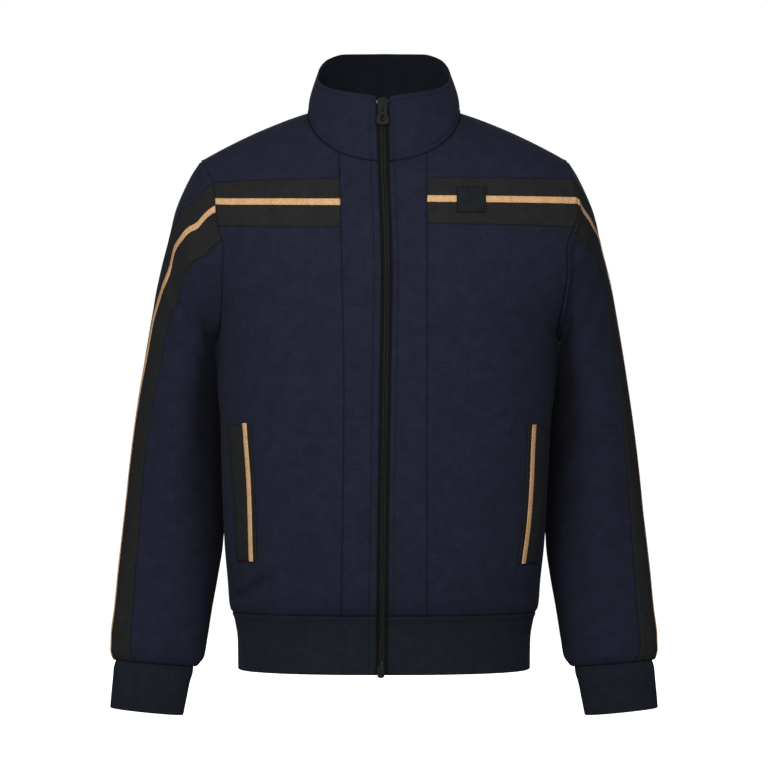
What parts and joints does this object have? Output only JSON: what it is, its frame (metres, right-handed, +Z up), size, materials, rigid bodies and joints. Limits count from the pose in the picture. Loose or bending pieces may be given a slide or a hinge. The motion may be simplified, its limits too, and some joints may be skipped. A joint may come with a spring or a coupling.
{
  "type": "zip-up sweatshirt",
  "caption": "Long-sleeved zip-up sweatshirt with a stand collar, ribbed waistband and cuffs, slanted welt pockets, and a striped contrast band across the chest and down each sleeve.",
  "frame": {"origin": "the nape: the middle of the back neck seam, where the wearer's neck and shoulders hold the garment", "axes": "+Z up, the front faces -Y, +X is the wearer's left"},
  "size_m": [0.6562, 0.2761, 0.7969],
  "materials": {
    "navy_knit": "matt smooth double knit, navy",
    "black_knit": "matt smooth double knit, black",
    "tan_braid": "flat woven braid, tan",
    "rib": "two-layer rib knit, dark navy",
    "zip_tape": "woven tape, black",
    "zip_coil": "moulded coil, black",
    "zip_metal": "black enamelled casting",
    "bright_stop": "pressed clamp"
  },
  "bodies": {
    "garment": {"front_lower_right": "navy_knit", "chest_band_right": "black_knit", "chest_stripe_right": "tan_braid", "chest_yoke_right": "navy_knit", "placket_right": "navy_knit", "front_lower_left": "navy_knit", "chest_band_left": "black_knit", "chest_stripe_left": "tan_braid", "chest_yoke_left": "navy_knit", "placket_left": "navy_knit", "back": "navy_knit", "waistband": "rib", "collar": "navy_knit", "sleeve_front_right": "navy_knit", "sleeve_band_right": "black_knit", "sleeve_back_right": "navy_knit", "sleeve_stripe_right": "tan_braid", "cuff_right": "rib", "pocket_welt_right": "black_knit", "pocket_stripe_right": "tan_braid", "sleeve_front_left": "navy_knit", "sleeve_band_left": "black_knit", "sleeve_back_left": "navy_knit", "sleeve_stripe_left": "tan_braid", "cuff_left": "rib", "pocket_welt_left": "black_knit", "pocket_stripe_left": "tan_braid", "chest_patch": "black_knit", "zip_tape_right": "zip_tape", "zip_tape_left": "zip_tape", "zip_chain": "zip_coil", "zip_slider": "zip_metal", "zip_bottom_stop": "zip_metal", "zip_top_stop_right": "bright_stop", "zip_top_stop_left": "bright_stop"},
    "pull_tab": {"zip_pull_tab": "zip_metal"}
  },
  "joints": [
    {"name": "pull_tab_swing", "type": "hinge", "parent": "garment", "child": "pull_tab", "pos_m": [-0.00162, -0.15416, 0.00339], "axis": [-1, 0, 0], "range_deg": [0, 135]}
  ]
}
